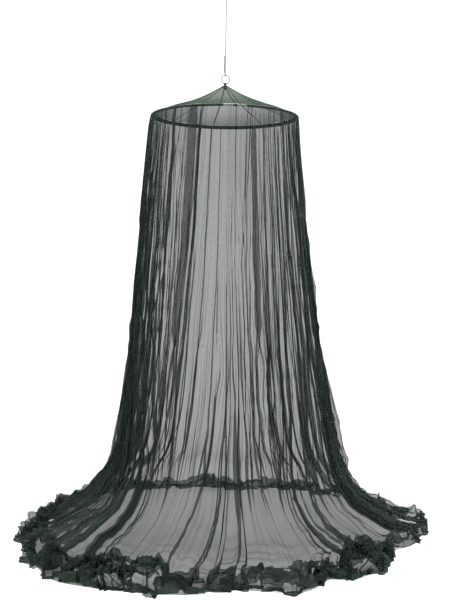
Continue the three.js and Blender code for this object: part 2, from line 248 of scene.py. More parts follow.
# The loop hangs on its hook at the origin. One side of it: x, and share of its height.
LOOP_FOOT = KNOT_FOOT + 0.01535
LOOP_RISE = CORD / 2 - LOOP_FOOT
loop_side = [
    (0.0022, -0.12), (0.0022, 0.05), (0.0034, 0.12), (0.0065, 0.27), (0.010, 0.52), (0.009, 0.76),
    (0.0055, 0.94),
]
loop_route = (
    [(-x, 0, LOOP_FOOT + share * LOOP_RISE) for x, share in loop_side]
    + [(0, 0, LOOP_FOOT + LOOP_RISE)]
    + [(x, 0, LOOP_FOOT + share * LOOP_RISE) for x, share in loop_side[::-1]]
)
top_loop = mesh_piece(
    "top-loop", tube(smooth_route(loop_route, 150), twisted), cord_cotton
)
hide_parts("top_loop")

# ---- Split ring ----------------------------------------------------------------------------------
# A ring of nickel plated steel wire whose ends pass each other. It joins cord and net. The wire is
# drawn 2.8 mm thick, where the real one is nearer 2.4 mm, so that it shows.
RING_HEIGHT = 1.856 + FLOOR
RING_RADIUS, RING_WIRE = 0.0173, 0.0014  # of the ring to its wire's middle, and of the wire
RING_TURN = 405  # degrees that the wire goes round
RING_APART = 0.0027  # between the middles of its two ends
RING_CUT, RING_THINNED = 0.0012, 0.7  # length of the thinner ends, and what they keep of the wire

# Nickel plating: smooth metal with a soft blur in its reflections and faint drawing marks, about
# 2.5 mm apart. Drawn much darker than it is, because it mirrors the white surroundings and would
# be lost against them.
plated_steel, shader = new_material("nickel plated steel wire")
shader.inputs["Metallic"].default_value = 1
draw_marks = node(plated_steel, "ShaderNodeTexNoise", values={"Scale": 400, "Detail": 2})
plating = node(plated_steel, "ShaderNodeValToRGB", links={"Fac": draw_marks.outputs["Fac"]})
plating.color_ramp.elements[0].color = linear("1a1c1e")
plating.color_ramp.elements[1].color = linear("3a3d40")
plated_steel.node_tree.links.new(plating.outputs["Color"], shader.inputs["Base Color"])
shader.inputs["Roughness"].default_value = 0.24


def circle(radius, sides=16):
    """A round outline."""
    angles = [2 * pi * side / sides for side in range(sides)]
    return [(radius * cos(angle), radius * sin(angle)) for angle in angles]


def ring_wire(length):
    """The wire's outline, thinner at its two cut ends."""
    whole = RING_CUT < length < radians(RING_TURN) * RING_RADIUS - RING_CUT
    return circle(RING_WIRE * (1 if whole else RING_THINNED), 18)


ring_route = []
for turn in np.linspace(0, RING_TURN, 150):
    angle = radians(turn - 30)
    ring_route.append(
        (RING_RADIUS * cos(angle), RING_APART * (turn / RING_TURN - 0.5),
         RING_HEIGHT + RING_RADIUS * sin(angle))
    )
split_ring = mesh_piece("split-ring", tube(ring_route, ring_wire), plated_steel)
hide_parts("split_ring")

# ---- Tape loop -----------------------------------------------------------------------------------
# Woven polyester tape, folded over the ring's wire. Its legs lie together, go down through the top
# of the crown and end in a knot under it, which holds the eight gores' tops.
TAPE_WIDTH, TAPE_THICK = 0.0105, 0.00162
CROWN_TOP = 1.830 + FLOOR


def woven(material, shaded_hollow_hex, crest_hex, pitch, relief):
    """Gives a material a plain weave: its colour in the hollows, darker with painted shade, and on
    the crests, and the pitch and relief of its threads, in the metres of the cloth's UVs."""
    cloth = node(material, "ShaderNodeUVMap", {"uv_map": "cloth"})
    ridges = []
    for direction in ((1, 0, 0), (0, 1, 0)):
        across = node(
            material, "ShaderNodeVectorMath", {"operation": "DOT_PRODUCT"},
            {1: tuple(2 * pi / pitch * part for part in direction)}, {0: cloth.outputs["UV"]},
        )
        ridges.append(node(material, "ShaderNodeMath", {"operation": "SINE"},
                           links={0: across.outputs["Value"]}))
    weave = node(material, "ShaderNodeMath", {"operation": "MULTIPLY"},
                 links={0: ridges[0].outputs[0], 1: ridges[1].outputs[0]})
    tone = node(material, "ShaderNodeMapRange", values={"From Min": -1.0, "From Max": 1.0},
                links={"Value": weave.outputs[0]})
    # the bump's hollows take the darker colour: painted shade
    colours = node(material, "ShaderNodeValToRGB", links={"Fac": tone.outputs["Result"]})
    colours.color_ramp.elements[0].color = linear(shaded_hollow_hex)
    colours.color_ramp.elements[1].color = linear(crest_hex)
    bump = node(material, "ShaderNodeBump", values={"Strength": 0.6, "Distance": relief},
                links={"Height": tone.outputs["Result"]})
    principled = material.node_tree.nodes["Principled BSDF"]
    material.node_tree.links.new(colours.outputs["Color"], principled.inputs["Base Color"])
    material.node_tree.links.new(bump.outputs["Normal"], principled.inputs["Normal"])


# Woven polyester tape, dyed dark green: matt, closely ribbed, with a faint sheen. Its ribs are
# drawn at 1.4 mm, about twice as coarse as they are, so that they show.
green_tape, shader = new_material("woven polyester tape")
shader.inputs["Roughness"].default_value = 0.8
shader.inputs["Sheen Weight"].default_value = 0.15
# the hollows between its ribs are painted darker, as painted shade
woven(green_tape, "16211b", "26362c", 0.0014, 0.0002)


def band_faces(rows, sides):
    """Faces of a closed band whose points are rows of outlines, with both its ends shut."""
    faces = []
    for row in range(rows - 1):
        for corner in range(sides):
            here, there, following = row * sides, (row + 1) * sides, (corner + 1) % sides
            faces.append((here + corner, there + corner, there + following, here + following))
    last = (rows - 1) * sides
    return faces + [tuple(range(sides)), tuple(range(last, last + sides))[::-1]]


def ribbon(line, width, thick, name, material):
    """A flat tape, its width along X, whose middle follows a line of (y, z) points."""
    line = np.array(line)
    along = np.gradient(line, axis=0)
    along /= np.linalg.norm(along, axis=1)[:, None]
    out = np.stack([along[:, 1], -along[:, 0]], axis=1)
    run = np.r_[0, np.cumsum(np.linalg.norm(np.diff(line, axis=0), axis=1))]
    edge = thick / 2
    outline = [
        (-width / 2 + edge * (1 - cos(angle)), edge * sin(angle))
        for angle in np.linspace(-pi / 2, pi / 2, 7)
    ]
    outline = outline + [(-x, y) for x, y in outline[::-1]]
    points, uvs = [], []
    for place, normal, length in zip(line, out, run):
        for x, lift in outline:
            points.append((x, place[0] + lift * normal[0], place[1] + lift * normal[1]))
            uvs.append((x, length))
    faces = band_faces(len(line), len(outline))
    return mesh_piece(name, (points, faces, uvs), material)


RING_FOOT = RING_HEIGHT - RING_RADIUS
# y and height of one leg's middle, from under the crown up to the ring's wire
leg = [
    (0.0011, CROWN_TOP - 0.004), (0.0011, CROWN_TOP), (0.0012, RING_FOOT - 0.0055),
    (0.0021, RING_FOOT - 0.0028), (0.0026, RING_FOOT), (0.0022, RING_FOOT + 0.0018),
]
apex_line = leg + [(0, RING_FOOT + 0.0031)] + [(-y, z) for y, z in leg[::-1]]
apex_line = smooth_route([(0, y + 0.0003, z) for y, z in apex_line], 90)[:, 1:]
apex_loop = ribbon(apex_line, TAPE_WIDTH, TAPE_THICK, "tape-loop", green_tape)
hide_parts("apex_loop")

# The knot under the crown: the same tape in just over two flat turns, drawn tight.
TAPE_KNOT_TURN, TAPE_KNOT_DROP = 4.4 * pi, 0.0072
tape_turns = [
    (-0.002 + 0.0034 * cos(turn), 0.0032 * sin(turn),
     CROWN_TOP - 0.0072 - TAPE_KNOT_DROP * turn / TAPE_KNOT_TURN)
    for turn in np.linspace(0, TAPE_KNOT_TURN, 40)
]


def flat_turn(length):
    """The outline of the tape where it is squeezed in the knot."""
    half_thick, half_wide = 0.0017 + 0.0003 * sin(length * 1900), 0.0027
    angles = np.linspace(0, 2 * pi, 14, endpoint=False)
    return [(half_thick * cos(angle), half_wide * sin(angle)) for angle in angles]


apex_knot = mesh_piece(
    "apex-knot", tube(smooth_route(tape_turns, 110), flat_turn), green_tape
)
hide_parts("apex_knot")

# ---- Hoop ----------------------------------------------------------------------------------------
# A round rod of grey fibre plastic bent to a ring. A moulded black sleeve joins its ends, in the
# short gap that the casing leaves at the front.
HOOP_RADIUS, HOOP_HEIGHT, ROD_RADIUS = 0.300, 1.700 + FLOOR, 0.00275
SLEEVE_AT = -82  # degrees
SLEEVE_LENGTH, SLEEVE_RADIUS = 0.014, 0.0046
RIM_LENGTH, RIM_DROP = 0.0012, 0.0009  # how far its rims are rounded off

# Drawn fibre plastic: smooth and half matt, its grey a little cloudy every 1.4 mm. A mid grey, so
# that the bright surroundings don't turn it white.
fibre_rod, shader = new_material("drawn fibre plastic rod")
rod_clouds = node(fibre_rod, "ShaderNodeTexNoise", values={"Scale": 700, "Detail": 2})
rod_tone = node(fibre_rod, "ShaderNodeValToRGB", links={"Fac": rod_clouds.outputs["Fac"]})
rod_tone.color_ramp.elements[0].color = linear("777a7a")
rod_tone.color_ramp.elements[1].color = linear("8f9292")
fibre_rod.node_tree.links.new(rod_tone.outputs["Color"], shader.inputs["Base Color"])
shader.inputs["Roughness"].default_value = 0.42


def hoop_line(start, end, count):
    """Points along the rod's middle, between two angles in degrees."""
    angles = np.radians(np.linspace(start, end, count))
    return [(HOOP_RADIUS * cos(angle), HOOP_RADIUS * sin(angle), HOOP_HEIGHT) for angle in angles]


hoop_rod = mesh_piece(
    "hoop-rod", tube(hoop_line(0, 358, 180), lambda length: circle(ROD_RADIUS), closed=True),
    fibre_rod,
)
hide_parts("hoop_rod")

# Moulded polyethylene: black and half matt, with a fine grain of 0.7 mm left by the mould.
black_sleeve, shader = new_material("moulded polyethylene")
grain = node(black_sleeve, "ShaderNodeTexNoise", values={"Scale": 1500, "Detail": 2})
skin = node(black_sleeve, "ShaderNodeBump", values={"Strength": 0.2, "Distance": 0.0001},
            links={"Height": grain.outputs["Fac"]})
black_sleeve.node_tree.links.new(skin.outputs["Normal"], shader.inputs["Normal"])
shader.inputs["Base Color"].default_value = linear("1a1c1b")
shader.inputs["Roughness"].default_value = 0.45


def sleeve_outline(length):
    """The sleeve's outline, rounded off towards both rims."""
    from_rim = min(length, SLEEVE_LENGTH - length)
    return circle(SLEEVE_RADIUS - RIM_DROP * max(0, 1 - from_rim / RIM_LENGTH) ** 2, 24)


sleeve_half = degrees(SLEEVE_LENGTH / 2 / HOOP_RADIUS)
sleeve_line = hoop_line(SLEEVE_AT - sleeve_half, SLEEVE_AT + sleeve_half, 29)
hoop_connector = mesh_piece(
    "hoop-connector", tube(sleeve_line, sleeve_outline), black_sleeve
)
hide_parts("hoop_connector")

# ---- Casing --------------------------------------------------------------------------------------
# A tunnel of the same woven tape, folded round the rod and stitched flat above it. The crown is
# sewn to its flat edge. It is open for about 95 mm at the front.
CASING_SLOPE, CASING_WIDTH, CASING_OPENING = radians(29), 0.022, 18
CASING_STEPS = 342
TUNNEL = 0.0050  # outer radius of the round part
# the flat part: share of its width from the rod, and half its thickness there
CASING_FLAT = ((0.45, 0.0017), (0.62, 0.0011), (0.95, 0.0009), (1.0, 0.0004))
casing_run = radians(360 - CASING_OPENING) * HOOP_RADIUS


def casing_outline(angle):
    """The section at one angle round the hoop: (out, up) from the rod, drawn out up the crown."""
    flat = CASING_WIDTH - TUNNEL
    inward, rise = -cos(CASING_SLOPE), sin(CASING_SLOPE)
    outline = []
    for turn in np.linspace(-118, 118, 15):  # round the rod, from under the flat to over it
        a = radians(turn) - CASING_SLOPE
        outline.append((TUNNEL * cos(a), TUNNEL * sin(a)))
    pucker = 0.00035 * sin(angle * 97) + 0.0002 * sin(angle * 41 + 1)
    over = [(share, pucker + half) for share, half in CASING_FLAT]
    under = [(share, pucker - half) for share, half in CASING_FLAT[::-1]]
    for share, lift in over + under:
        outline.append((share * flat * inward + lift * rise, share * flat * rise - lift * inward))
    return outline


casing_points, casing_uvs = [], []
for step in range(CASING_STEPS + 1):
    angle = radians(SLEEVE_AT + CASING_OPENING / 2 + step * (360 - CASING_OPENING) / CASING_STEPS)
    outline = casing_outline(angle)
    for corner, (out, up) in enumerate(outline):
        radius = HOOP_RADIUS + out
        casing_points.append((radius * cos(angle), radius * sin(angle), HOOP_HEIGHT + up))
        casing_uvs.append((corner * 0.002, step * casing_run / CASING_STEPS))
casing_faces = band_faces(CASING_STEPS + 1, len(outline))
hoop_casing = mesh_piece(
    "hoop-casing", (casing_points, casing_faces, casing_uvs), green_tape
)
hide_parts("hoop_casing")

# ---- Crown ---------------------------------------------------------------------------------------
# Eight gores of the net, joined by felled seams that run from the tape loop down to the casing.
# Each gore hangs a few millimetres under its seams and is drawn into small gathers at its top.
SEAMS = [19, 56, 100, 141, 187, 232, 278, 329]  # degrees round the hoop, where each seam meets it
SEAM_WIDTH, HEM_WIDTH = 0.007, 0.010
FOLDED = 3  # layers that a seam or a hem adds
NET_PITCH = 0.0035  # between two cells, about twice as coarse as they are, so that they show


def net_material(name, thread, lit_thread, seen_through, gloss):
    """Knitted net: threads of one colour with open cells between, painted lighter with lit_thread
    where three threads meet, as painted light. seen_through is the share of the light that passes
    one layer square on; the share falls as the net turns edge on. gloss is the level of its shine,
    which shows at a slant."""
    material, principled = new_material(name)
    cloth = node(material, "ShaderNodeUVMap", {"uv_map": "cloth"})
    waves = []
    frequency = 2 * pi / NET_PITCH
    for turn in (0, 60, 120):
        across = node(
            material, "ShaderNodeVectorMath", {"operation": "DOT_PRODUCT"},
            {1: (frequency * cos(radians(turn)), frequency * sin(radians(turn)), 0)},
            {0: cloth.outputs["UV"]},
        )
        waves.append(node(material, "ShaderNodeMath", {"operation": "COSINE"},
                          links={0: across.outputs["Value"]}))
    pair = node(material, "ShaderNodeMath", {"operation": "ADD"},
                links={0: waves[0].outputs[0], 1: waves[1].outputs[0]})
    cells = node(material, "ShaderNodeMath", {"operation": "ADD"},
                 links={0: pair.outputs[0], 1: waves[2].outputs[0]})
    # most open in the middle of a cell, and least where three threads meet
    opening = node(
        material, "ShaderNodeMapRange",
        values={"From Min": -1.5, "From Max": 3.0, "To Min": seen_through - 0.10,
                "To Max": seen_through + 0.20},
        links={"Value": cells.outputs[0]},
    )
    # the seams are felled and the hem is turned over twice, so three more layers lie there
    place = node(material, "ShaderNodeUVMap", {"uv_map": "edges"})
    parts = node(material, "ShaderNodeSeparateXYZ", links={"Vector": place.outputs["UV"]})
    layers = []
    for output, width in (("X", SEAM_WIDTH / 2), ("Y", HEM_WIDTH)):
        layers.append(node(
            material, "ShaderNodeMapRange", {"interpolation_type": "SMOOTHSTEP"},
            {"From Min": width * 0.7, "From Max": width * 1.1, "To Min": FOLDED, "To Max": 0},
            {"Value": parts.outputs[output]},
        ))
    folded = node(material, "ShaderNodeMath", {"operation": "MAXIMUM"},
                  links={0: layers[0].outputs[0], 1: layers[1].outputs[0]})
    turned = node(material, "ShaderNodeMath", {"operation": "ADD"}, {1: 1.0},
                  {0: folded.outputs[0]})
    facing = node(material, "ShaderNodeLayerWeight", values={"Blend": 0.5})
    slant = node(material, "ShaderNodeMapRange",
                 values={"From Min": 0.0, "From Max": 0.96, "To Min": 1.0, "To Max": 0.04},
                 links={"Value": facing.outputs["Facing"]})
    path = node(material, "ShaderNodeMath", {"operation": "POWER"}, {1: -0.5},
                {0: slant.outputs["Result"]})
    depth = node(material, "ShaderNodeMath", {"operation": "MULTIPLY"},
                 links={0: path.outputs[0], 1: turned.outputs[0]})
    passed = node(material, "ShaderNodeMath", {"operation": "POWER"},
                  links={0: opening.outputs["Result"], 1: depth.outputs[0]})
    cover = node(material, "ShaderNodeMath", {"operation": "SUBTRACT", "use_clamp": True},
                 {0: 1.0}, {1: passed.outputs[0]})
    # the threads' colour is painted lighter where they meet, as painted light
    tone = node(material, "ShaderNodeMapRange", values={"From Min": -1.5, "From Max": 3.0},
                links={"Value": cells.outputs[0]})
    colours = node(material, "ShaderNodeValToRGB", links={"Fac": tone.outputs["Result"]})
    colours.color_ramp.elements[0].color = linear(lit_thread)
    colours.color_ramp.elements[1].color = linear(thread)
    tree = material.node_tree
    tree.links.new(cover.outputs[0], principled.inputs["Alpha"])
    tree.links.new(colours.outputs["Color"], principled.inputs["Base Color"])
    principled.inputs["Roughness"].default_value = 0.75
    principled.inputs["Specular IOR Level"].default_value = gloss
    return material


# Knitted polyester mosquito net, dyed bottle green: fine matt threads round six-sided cells, so it
# is a grey-green haze square on and closes up edge on and in folds.
skirt_net = net_material("knitted polyester net", "1c2721", "29352e", 0.53, 0.15)
# The crown is stretched more openly, and its threads' colours are painted greener than the skirt's,
# as painted light from above shining through them. It has next to no gloss, so that its slanting
# sides stay dark.
crown_net = net_material("knitted polyester net, crown", "1b3022", "253c2b", 0.60, 0.03)

# The crown's hang, as radius and height over the hoop.
CROWN = [
    (0.0069, 0.130), (0.0135, 0.1262), (0.022, 0.121), (0.053, 0.104), (0.112, 0.0755),
    (0.182, 0.048), (0.245, 0.0265), (0.2847, 0.0090),
]
crown_line = smooth_route([(out, 0, up) for out, up in CROWN], 40)
GORE_COLUMNS = 26
GORE_SAG = 0.014  # a quarter of it is how far the middle of a gore hangs down
GATHER, RIPPLE = 0.0016, 0.0012  # heights of the gathers at the top and of the net's slack
CROWN_SLOPE = 0.31  # length down the crown
for number, seam in enumerate(SEAMS):
    following = SEAMS[(number + 1) % 8] + (360 if number == 7 else 0)
    turn = radians(following - seam)
    points, uvs, edges = [], [], []
    for row, (out, _, up) in enumerate(crown_line):
        span = turn * out
        way = row / (len(crown_line) - 1)  # share of the way down
        for column in range(GORE_COLUMNS + 1):
            share = column / GORE_COLUMNS
            angle = radians(seam + (following - seam) * share)
            sag = GORE_SAG * share * (1 - share) * sin(pi * way)
            gather = GATHER * (1 - way) ** 3 * sin(pi * way * 3 + 0.4)
            gather *= sin(share * pi * (5 + number % 3))
            slack = RIPPLE * sin(pi * share) * sin(way * 4 + number * 2.1)
            slack *= sin(share * 9 + number)
            height = HOOP_HEIGHT + up - sag + gather + slack
            points.append((out * cos(angle), out * sin(angle), height))
            uvs.append(((share - 0.5) * span, CROWN_SLOPE * way))
            # the seams are a little narrower towards the top, and the foot is a little denser
            from_seam = min(share, 1 - share) * span + 0.0009 * (1 - way)
            edges.append((from_seam, 0.011 - 0.0017 * way**3))
    faces = []
    for row in range(len(crown_line) - 1):
        for column in range(GORE_COLUMNS):
            here, there = row * (GORE_COLUMNS + 1) + column, (row + 1) * (GORE_COLUMNS + 1) + column
            faces.append((here, there, there + 1, here + 1))
    gore = mesh_piece(f"crown-gore-{number + 1}", (points, faces, uvs, edges), crown_net)
    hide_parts(f"crown_gore_{number + 1}")

# ---- Skirt ---------------------------------------------------------------------------------------
# Eight flared panels of the net, sewn side to side, gathered on to the casing and hemmed. They fall
# in many narrow pleats, flat only at the middle of the front and back, and their spare length lies
# on the floor, drawn outwards and crumpled along the hem.

# The wall and the floor, row by row: height over the floor, radius of the folds' crests, how much
# further out at the right, share of the way from the wall's foot to the hem, share of the heap.
PROFILE = np.array([
    (1.703, 0.3066, 0.000, 0, 0),
    (1.650, 0.312, -0.003, 0, 0),
    (1.500, 0.325, -0.003, 0, 0),
    (1.353, 0.338, -0.001, 0, 0),
    (1.180, 0.352, 0.004, 0, 0),
    (1.000, 0.372, 0.008, 0, 0),
    (0.830, 0.390, 0.015, 0, 0),
    (0.660, 0.412, 0.021, 0, 0),
    (0.510, 0.436, 0.027, 0, 0),
    (0.390, 0.456, 0.032, 0, 0),
    (0.290, 0.480, 0.034, 0, 0),
    (0.215, 0.512, 0.028, 0, 0),
    (0.150, 0.555, 0.024, 0, 0),
    (0.092, 0.565, 0.024, 0.32, 0.10),
    (0.036, 0.565, 0.024, 0.62, 0.40),
    (0.010, 0.565, 0.024, 0.80, 0.80),
    (0.007, 0.565, 0.024, 0.94, 0.62),
    (0.004, 0.565, 0.024, 1.00, 0.05),
])
# The hem round the floor: degrees, radius, height of the heap, how far the cloth is pushed back
# and forth in ruffles, and how much further out than elsewhere the wall comes down.
HEM = np.array([
    (0, 0.872, 0.040, 0.022, 0.00),
    (12, 0.785, 0.030, 0.022, 0.00),
    (30, 0.795, 0.040, 0.022, 0.02),
    (43, 0.810, 0.036, 0.022, 0.03),
    (62, 0.825, 0.038, 0.020, 0.07),
    (80, 0.790, 0.036, 0.016, 0.085),
    (95, 0.775, 0.036, 0.016, 0.085),
    (108, 0.790, 0.036, 0.016, 0.085),
    (119, 0.825, 0.040, 0.018, 0.07),
    (138, 0.755, 0.055, 0.026, 0.04),
    (155, 0.690, 0.062, 0.028, 0.02),
    (168, 0.690, 0.072, 0.030, 0.00),
    (184, 0.705, 0.078, 0.034, 0.00),
    (197, 0.755, 0.078, 0.042, 0.00),
    (210, 0.855, 0.060, 0.040, 0.00),
    (222, 0.915, 0.052, 0.041, 0.00),
    (238, 1.005, 0.050, 0.044, 0.00),
    (246, 0.998, 0.062, 0.047, 0.00),
    (255, 0.990, 0.060, 0.046, 0.00),
    (262, 0.985, 0.045, 0.042, 0.00),
    (273, 0.905, 0.036, 0.036, 0.00),
    (287, 0.970, 0.036, 0.038, 0.00),
    (297, 0.865, 0.050, 0.044, 0.00),
    (302, 0.905, 0.068, 0.048, 0.00),
    (312, 0.875, 0.058, 0.042, 0.00),
    (328, 0.772, 0.042, 0.018, 0.00),
    (340, 0.815, 0.042, 0.020, 0.00),
])
# How the folds run: degrees at the heading, at 1.2 m, at 0.6 m, at the foot and at the hem, then
# how full the cloth is there, as its width over the width it covers: at the heading, at 1 m, at
# 0.4 m, on the floor and at the hem. The rows of the profile where these columns hold follow it.
FOLDS = np.array([
    (12, 12, 11, 10, 8, 1.5, 2.1, 2.4, 2.2, 1.7),
    (35, 35, 36, 37, 38, 1.9, 2.4, 2.4, 2, 1.8),
    (58, 58, 59, 60, 62, 1.8, 2.4, 2.9, 1.8, 1.8),
    (76, 75, 73, 72, 72, 1.4, 1.7, 2.1, 1.5, 2),
    (84, 82, 80, 80, 83, 1.02, 1.02, 1.05, 1.1, 1.8),
    (93, 94, 98, 99, 96, 1.02, 1.02, 1.05, 1.2, 2),
    (101, 104, 108, 110, 111, 1.3, 1.3, 1.6, 1.4, 1.9),
    (120, 121, 123, 124, 126, 1.9, 2.4, 3, 2.2, 1.9),
    (141, 141, 141, 141, 142, 1.9, 2.6, 3, 2.6, 1.9),
    (160, 160, 160, 160, 159, 1.7, 2.8, 3.2, 2.4, 1.9),
    (180, 180, 180, 181, 183, 1.6, 2.6, 3.2, 2.2, 2),
    (198, 198, 199, 206, 210, 1.7, 3.2, 3.8, 2, 2.3),
    (210, 209, 209, 216, 226, 1.7, 3.2, 4, 2.8, 2.5),
    (218, 217, 217, 227, 238, 1.7, 3, 3.8, 3.8, 2.6),
    (226, 225, 227, 236, 245, 1.6, 2.7, 3.6, 3.6, 2.8),
    (233, 231, 232, 239, 248.5, 1.5, 2.5, 3.4, 1.15, 2.8),
    (242, 240, 238, 242, 250, 2.9, 3.1, 3.4, 1.05, 3.4),
    (255, 252, 247, 247, 251.5, 3, 3.2, 3.3, 1.03, 3.4),
    (264, 258, 254, 251, 253, 1.15, 1.7, 2.5, 1.02, 3),
    (269, 266, 264, 259, 257, 1, 1.35, 2.4, 1.04, 2.8),
    (273, 274, 276, 271, 263, 1.7, 2.3, 3.6, 4.4, 2.6),
    (277, 277, 279, 279, 274, 2.1, 2.9, 4.2, 1.02, 2.6),
    (291, 285, 285, 288, 285, 2.2, 2.9, 4.2, 1.3, 2.4),
    (300, 298, 298, 297, 294, 1.7, 2.7, 3.8, 1.02, 2.4),
    (309, 309, 308, 303, 301, 1.8, 2.7, 3.6, 3.8, 4.2),
    (322, 321, 320, 317, 316, 1.8, 2.4, 2.8, 1.02, 2.8),
    (331, 330, 328, 328, 334, 1.7, 2.4, 2.8, 1.2, 2),
    (339, 338, 335, 337, 347, 1.6, 2.6, 3.4, 4.6, 2.2),
    (350, 349, 347, 349, 357, 1.5, 2, 2.6, 1.8, 1.7),
])
DEGREES_AT = [0, 4, 7.4, 11.2, 17]
FULLNESS_AT, FULLNESS_COLUMNS = [0, 5, 9.3, 12.4, 14.4, 16.2, 17], [0, 1, 2, 3, 3.1, 4, 4]
FIRST_FOLD = FOLDS[0, 0]
# Single pleats, flat and narrow enough to show as lines, or wide enough to show as bands of three
# layers: degrees at the heading, width, first row, last row.
LINES = [
    (93, 0.010, 0, 15), (87, 0.008, 5, 15), (278, 0.008, 8, 17), (254.5, 0.014, 0, 16),
    (291, 0.010, 0, 6), (299, 0.008, 3, 14), (316, 0.008, 7, 14), (247, 0.050, 0, 6),
    (306, 0.014, 0, 15), (331, 0.010, 0, 13), (235, 0.010, 2, 14), (222, 0.012, 0, 14),
    (345, 0.012, 0, 13), (70, 0.008, 0, 12), (108, 0.009, 0, 12), (115, 0.010, 4, 13),
    (232, 0.024, 0, 4), (318, 0.030, 0, 4), (65, 0.040, 0, 6), (112, 0.030, 0, 4),
]
COLUMNS = 3300
ROWS_PER_STEP = [2] * 12 + [5, 12, 26, 34, 24]
FOLD_BACK = 2.3  # the steepest that the cloth turns in its folds, in radians
PLEAT_TURN = 2.9  # and in the single pleats, which lie flat
random = np.random.default_rng(1847)


def around(table_degrees, values, at):
    """Smooth interpolation round the circle, through the rows of a table."""
    knots = np.r_[table_degrees - 360, table_degrees, table_degrees + 360]
    repeated = np.r_[values, values, values]
    after = np.clip(np.searchsorted(knots, at, side="right"), 1, len(knots) - 1)
    share = (at - knots[after - 1]) / (knots[after] - knots[after - 1])
    share = share * share * (3 - 2 * share)
    return repeated[after - 1] * (1 - share) + repeated[after] * share


def down(values, rows):
    """Smooth interpolation down the rows of a table, at whole and part rows."""
    values = np.asarray(values, dtype=float)
    padded = np.concatenate([[2 * values[0] - values[1]], values, [2 * values[-1] - values[-2]]])
    first = np.minimum(rows.astype(int), len(values) - 2)
    t = (rows - first).reshape(-1, *[1] * (values.ndim - 1))
    return spline(*(padded[first + step] for step in range(4)), t)


def ripples(count, low, high):
    """Random smooth waves over the cloth, as many as count, low to high metres long. Gives a
    function of two lengths in metres, whose values are about -1 to 1."""
    turns = random.uniform(0, 2 * pi, count)
    frequencies = 2 * pi / np.exp(random.uniform(np.log(low), np.log(high), count))
    starts = random.uniform(0, 2 * pi, count)
    weights = (1 / frequencies) ** 0.5
    weights /= np.sqrt((weights**2).sum() / 2)

    def value(across, along):
        total = np.zeros(np.broadcast(across, along).shape)
        for turn, frequency, start, weight in zip(turns, frequencies, starts, weights):
            total += weight * np.cos(frequency * (cos(turn) * across + sin(turn) * along) + start)
        return total / 1.6

    return value


row_at = np.concatenate(
    [step + np.arange(parts) / parts for step, parts in enumerate(ROWS_PER_STEP)] + [[17.0]]
)
ROWS = len(row_at)


def by_row(rows, values):
    """A value for each row of the mesh, on straight lines between these rows of the profile."""
    return np.interp(row_at, rows, values)[:, None]


# Azimuth of every column at every row, in degrees: the columns keep their share of the cloth
# between one fold line and the next, and stand closer together where the cloth is fuller.
fold_lines = down(FOLDS[:, :5].T, np.interp(row_at, DEGREES_AT, range(5)))  # row by row
tenths = np.linspace(0, 360, 3601) + FIRST_FOLD
closeness = 0.6 + around(
    FOLDS[:, 0], FOLDS[:, 5:].mean(axis=1), (tenths - FIRST_FOLD) % 360 + FIRST_FOLD
)
amount = np.r_[0, np.cumsum((closeness[1:] + closeness[:-1]) / 2)]
heading = np.interp(np.linspace(0, amount[-1], COLUMNS, endpoint=False), amount, tenths)
azimuth = np.empty((ROWS, COLUMNS))
top_knots = np.r_[FOLDS[:, 0], FIRST_FOLD + 360]
ROUNDING = 40  # columns to each side, over which the corners of the interpolation are rounded off
kernel = np.exp(-0.5 * (np.arange(-ROUNDING, ROUNDING + 1) / 14) ** 2)
kernel /= kernel.sum()
for row in range(ROWS):
    azimuth[row] = np.interp(heading, top_knots, np.r_[fold_lines[row], fold_lines[row, 0] + 360])
    spread = azimuth[row] - heading
    wrapped = np.r_[spread[-ROUNDING:], spread, spread[:ROUNDING]]
    azimuth[row] = heading + np.convolve(wrapped, kernel, mode="valid")

fullness_rows = down(FOLDS[:, 5:].T, np.interp(row_at, FULLNESS_AT, FULLNESS_COLUMNS))
fullness = np.array([
    around(FOLDS[:, 0], fullness_rows[row], (heading - FIRST_FOLD) % 360 + FIRST_FOLD)
    for row in range(ROWS)
])
fullness = np.maximum(fullness, 1.0)


def at_hem(column):
    """A column of the hem's table, at the azimuth of every point."""
    return around(HEM[:, 0], HEM[:, column], azimuth % 360)


# The base surface without folds: how far out and how high every point is.
height, crest, to_right, to_hem, heaped = np.split(down(PROFILE, row_at), 5, axis=1)
to_hem = np.clip(to_hem, 0, 1)
reach, heap, bulge = at_hem(1), at_hem(2), at_hem(4)
lean = to_right * np.cos(np.radians(azimuth))
further = bulge * by_row([7, 12], [0, 1]) ** 2
base_out = (crest + lean + further) * (1 - to_hem) + reach * to_hem
steep = bulge / HEM[:, 4].max()  # 1 where the wall falls straight to the floor
base_up = (
    height * (1 - 0.9 * steep * by_row([12, 13.4], [0, 1]))
    + heap * heaped * (1 - steep * by_row([13.8, 15], [1, 0]))
)


def run_down():
    """Length down the base surface from the heading to each row, as a mean of all columns."""
    steps = np.hypot(np.diff(base_out.mean(axis=1)), np.diff(base_up.mean(axis=1)))
    return np.r_[0, np.cumsum(steps)]


# At the front the wall turns into the floor in a wide curve, and the folds turn outwards as widely:
# each row there becomes a mean of its neighbours, over about 70 mm up and down the cloth.
row_run = run_down()
curve_length = 0.002 + 0.07 * by_row([7, 10, 15, 16.5], [0, 1, 1, 0])
row_weights = np.exp(-0.5 * ((row_run[:, None] - row_run[None]) / curve_length) ** 2)
row_weights *= np.gradient(row_run)[None]
row_weights /= row_weights.sum(axis=1, keepdims=True)
at_front = np.clip((-np.sin(np.radians(azimuth)) - 0.6) / 0.25, 0, 1)
for surface in (base_out, base_up, azimuth):
    surface += at_front * (row_weights @ surface - surface)

# Cloth between neighbouring columns, and lengths round the cloth, taken 1 m over the floor.
step_angle = np.radians((np.roll(azimuth, -1, axis=1) - azimuth) % 360)
cloth_step = fullness * base_out * step_angle
cloth_run = np.cumsum(cloth_step, axis=1)
measure = cloth_run[np.searchsorted(row_at, 5.0)]
around_total = measure[-1]
down_run = run_down()[:, None]


